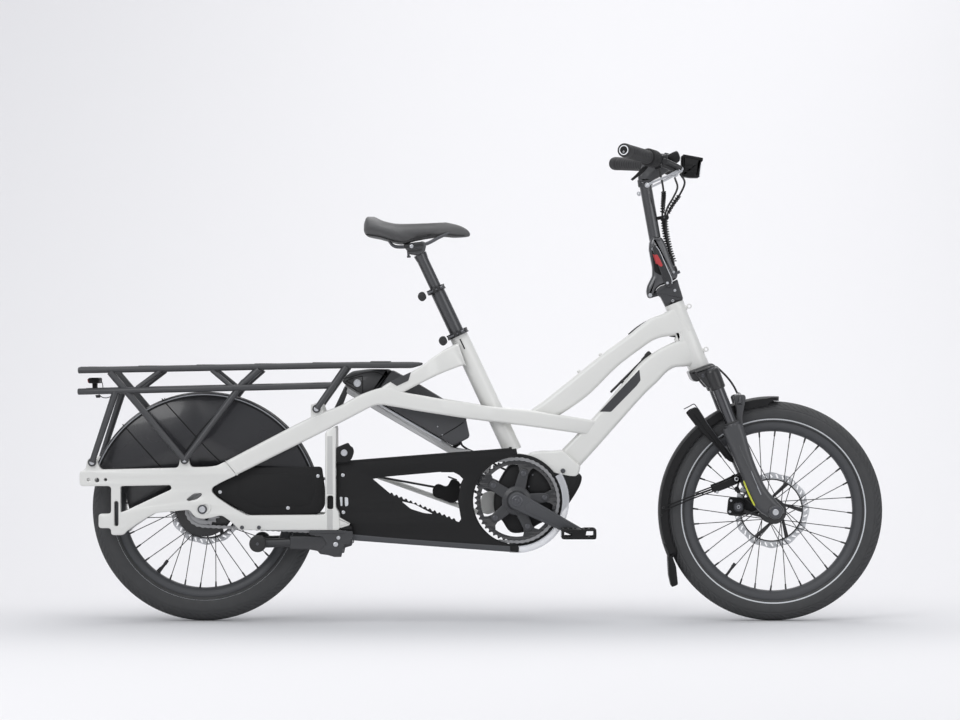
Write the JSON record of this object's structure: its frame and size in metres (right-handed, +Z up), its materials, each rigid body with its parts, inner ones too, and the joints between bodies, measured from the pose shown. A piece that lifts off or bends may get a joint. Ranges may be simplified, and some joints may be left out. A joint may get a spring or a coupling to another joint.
{
  "type": "longtail cargo bike",
  "caption": "Longtail electric cargo bike with an extended rear rack, mid motor, folding handlepost, telescopic seatpost, suspension fork, chain covers and a folded two-legged kickstand.",
  "frame": {"origin": "on the ground, in the middle of the bounding box as seen from above", "axes": "+X forward along the bike, +Y to the rider's left, +Z up; the drive side faces -Y"},
  "size_m": [1.8854, 0.6136, 1.1076],
  "materials": {
    "frame_paint": "gloss",
    "dark_paint": "satin",
    "black_paint": "satin",
    "black_plastic": "matte",
    "tyre": "matte",
    "grip_rubber": "matte",
    "saddle_cover": "matte",
    "steel": "brushed",
    "silver": "satin"
  },
  "bodies": {
    "frame": {"head_tube": "frame_paint", "top_tube": "frame_paint", "down_tube": "frame_paint", "seat_tube": "frame_paint", "side_beam_right": "frame_paint", "side_beam_left": "frame_paint", "rear_frame_right": "frame_paint", "rear_frame_left": "frame_paint", "rear_axle": "steel", "motor": "black_plastic", "chain": "steel", "chain_cover_front": "black_plastic", "chain_cover_rear": "black_plastic", "rack_side_right": "dark_paint", "rack_side_left": "dark_paint", "rack_deck": "dark_paint", "battery": "dark_paint", "battery_cradle": "silver", "rear_fender": "black_plastic", "rear_light": "black_plastic", "rear_caliper": "black_plastic", "kickstand_bracket": "silver"},
    "rear_wheel": {"rear_tyre": "tyre", "rear_rim": "black_paint", "rear_hub": "black_paint", "rear_rotor": "steel"},
    "rear_sprocket": {"rear_sprocket": "steel"},
    "crank_set": {"chainring": "black_paint", "crank_right": "black_paint", "crank_left": "black_paint"},
    "pedal_right": {"pedal_right": "black_plastic"},
    "pedal_left": {"pedal_left": "black_plastic"},
    "steering": {"fork_crown": "black_paint", "stem_base": "black_paint", "front_brake_hose": "black_plastic"},
    "fork_slider": {"fork_lowers": "black_paint", "front_caliper": "black_plastic", "front_fender": "black_plastic", "front_axle": "steel"},
    "front_wheel": {"front_tyre": "tyre", "front_rim": "black_paint", "front_hub": "black_paint", "front_rotor": "steel"},
    "handlepost": {"handlepost": "dark_paint", "handlebar": "black_paint", "grip_right": "grip_rubber", "grip_left": "grip_rubber", "headlight": "black_plastic", "display": "black_plastic", "cables": "black_plastic"},
    "handlepost_latch": {"handlepost_latch": "black_paint"},
    "twist_shifter": {"twist_shifter": "grip_rubber"},
    "brake_lever_right": {"brake_lever_right": "silver"},
    "brake_lever_left": {"brake_lever_left": "silver"},
    "seatpost_lower": {"seatpost_lower": "black_paint"},
    "seatpost_upper": {"seatpost_upper": "silver", "saddle": "saddle_cover"},
    "seat_lever_lower": {"seat_lever_lower": "black_paint"},
    "seat_lever_upper": {"seat_lever_upper": "black_paint"},
    "kickstand": {"kickstand_leg": "silver"}
  },
  "joints": [
    {"name": "rear_wheel_spin", "type": "hinge", "parent": "frame", "child": "rear_wheel", "pos_m": [-0.65134, 0, 0.265], "axis": [0, 1, 0], "continuous": true},
    {"name": "crank_spin", "type": "hinge", "parent": "frame", "child": "crank_set", "pos_m": [0.0817, 0, 0.28448], "axis": [0, 1, 0], "continuous": true},
    {"name": "rear_sprocket_spin", "type": "hinge", "parent": "frame", "child": "rear_sprocket", "pos_m": [-0.65134, 0, 0.265], "axis": [0, 1, 0], "continuous": true},
    {"name": "pedal_right_spin", "type": "hinge", "parent": "crank_set", "child": "pedal_right", "pos_m": [0.224, -0.145, 0.21135], "axis": [0, 1, 0], "continuous": true},
    {"name": "pedal_left_spin", "type": "hinge", "parent": "crank_set", "child": "pedal_left", "pos_m": [-0.06061, 0.145, 0.35762], "axis": [0, 1, 0], "continuous": true},
    {"name": "steering_turn", "type": "hinge", "parent": "frame", "child": "steering", "pos_m": [0.51134, 0, 0.59535], "axis": [-0.3641, 0, 0.9313], "range_deg": [-60, 60]},
    {"name": "fork_travel", "type": "slide", "parent": "steering", "child": "fork_slider", "axis": [-0.3641, 0, 0.9313], "range_m": [0, 0.05], "stiffness_N_per_m": 9000, "springref_m": -0.03, "deforming": ["front_brake_hose"]},
    {"name": "front_wheel_spin", "type": "hinge", "parent": "fork_slider", "child": "front_wheel", "pos_m": [0.68466, 0, 0.258], "axis": [0, 1, 0], "continuous": true},
    {"name": "handlepost_fold", "type": "hinge", "parent": "steering", "child": "handlepost", "pos_m": [0.39594, 0, 0.76538], "axis": [0, -1, 0], "range_deg": [0, 95]},
    {"name": "handlepost_latch_turn", "type": "hinge", "parent": "handlepost", "child": "handlepost_latch", "pos_m": [0.43786, -0.0243, 0.796], "axis": [0, 1, 0], "range_deg": [0, 100]},
    {"name": "twist_shifter_turn", "type": "hinge", "parent": "handlepost", "child": "twist_shifter", "pos_m": [0.39185, -0.148, 1.0806], "axis": [-0.4133, -0.9085, 0.0626], "range_deg": [-60, 60]},
    {"name": "brake_lever_right_pull", "type": "hinge", "parent": "handlepost", "child": "brake_lever_right", "pos_m": [0.46023, -0.105, 1.05622], "axis": [-0.7634, 0.5967, -0.2472], "range_deg": [0, 14], "stiffness_Nm_per_rad": 1.5, "springref_deg": -14.32},
    {"name": "brake_lever_left_pull", "type": "hinge", "parent": "handlepost", "child": "brake_lever_left", "pos_m": [0.46023, 0.105, 1.05622], "axis": [0.7634, 0.5967, 0.2472], "range_deg": [0, 14], "stiffness_Nm_per_rad": 1.5, "springref_deg": -14.32},
    {"name": "seatpost_lower_slide", "type": "slide", "parent": "frame", "child": "seatpost_lower", "axis": [-0.4276, 0, 0.904], "range_m": [-0.08, 0.03]},
    {"name": "seatpost_upper_slide", "type": "slide", "parent": "seatpost_lower", "child": "seatpost_upper", "axis": [-0.4276, 0, 0.904], "range_m": [-0.07, 0.03]},
    {"name": "seat_lever_lower_turn", "type": "hinge", "parent": "frame", "child": "seat_lever_lower", "pos_m": [-0.08553, -0.028, 0.65267], "axis": [-0.4276, 0, 0.904], "range_deg": [0, 110]},
    {"name": "seat_lever_upper_turn", "type": "hinge", "parent": "seatpost_lower", "child": "seat_lever_upper", "pos_m": [-0.13476, -0.023, 0.75677], "axis": [-0.4276, 0, 0.904], "range_deg": [0, 110]},
    {"name": "kickstand_swing", "type": "hinge", "parent": "frame", "child": "kickstand", "pos_m": [-0.33807, 0, 0.18603], "axis": [0, -1, 0], "range_deg": [0, 100]}
  ],
  "couplings": [
    {"joint": "rear_sprocket_spin", "follows": "crank_spin", "ratio": 2.4}
  ]
}
